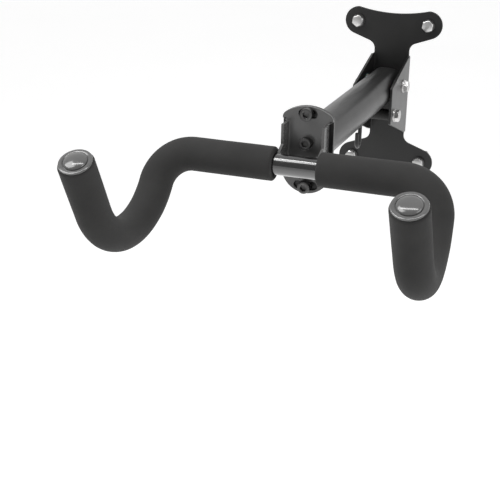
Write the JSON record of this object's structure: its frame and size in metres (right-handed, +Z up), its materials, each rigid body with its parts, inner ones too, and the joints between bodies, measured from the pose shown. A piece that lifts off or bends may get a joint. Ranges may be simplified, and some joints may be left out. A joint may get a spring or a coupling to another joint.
{
  "type": "bicycle wall rack",
  "caption": "Wall-mounted bicycle rack: lobed wall bracket with two ears, round arm that folds up, tilting plate and two foam-covered hooks that cradle a frame tube.",
  "frame": {"origin": "centre of the four wall screws, on the wall plane at the bracket's back face", "axes": "+X to the right seen from the room, +Y into the wall, +Z up; the arm reaches out along -Y"},
  "size_m": [0.34, 0.622, 0.213],
  "materials": {
    "black_coat": "satin",
    "graphite_coat": "satin",
    "gloss_tube": "gloss",
    "zinc": "satin",
    "dark_zinc": "satin",
    "bare_steel": "satin",
    "rubber": "matte",
    "nylon": "satin",
    "foam": "matte",
    "cap": "gloss"
  },
  "bodies": {
    "bracket": {"wall_bracket": "black_coat", "wall_washers": "dark_zinc", "wall_screws": "zinc", "pivot_bolt": "zinc", "pivot_washers": "zinc", "pivot_nut": "zinc", "stop_bolt": "zinc", "stop_washers": "zinc", "stop_nut": "zinc", "stop_sleeve": "rubber"},
    "arm": {"arm_tube": "black_coat", "pivot_bush": "bare_steel", "slip_washers": "nylon", "arm_end_plate": "black_coat", "clamp_bolts": "dark_zinc", "tilt_bolt": "dark_zinc", "accessory_hook": "black_coat"},
    "cradle": {"tilt_plate": "graphite_coat", "hook_tube": "gloss_tube", "foam_sleeve_left": "foam", "foam_sleeve_right": "foam", "end_cap_left": "cap", "end_cap_right": "cap"}
  },
  "joints": [
    {"name": "arm_fold", "type": "hinge", "parent": "bracket", "child": "arm", "pos_m": [0, -0.035, 0.017], "axis": [-1, 0, 0], "range_deg": [0, 90]},
    {"name": "cradle_tilt", "type": "hinge", "parent": "arm", "child": "cradle", "pos_m": [0, -0.352, 0.022], "axis": [0, 1, 0], "range_deg": [-10, 10]}
  ]
}
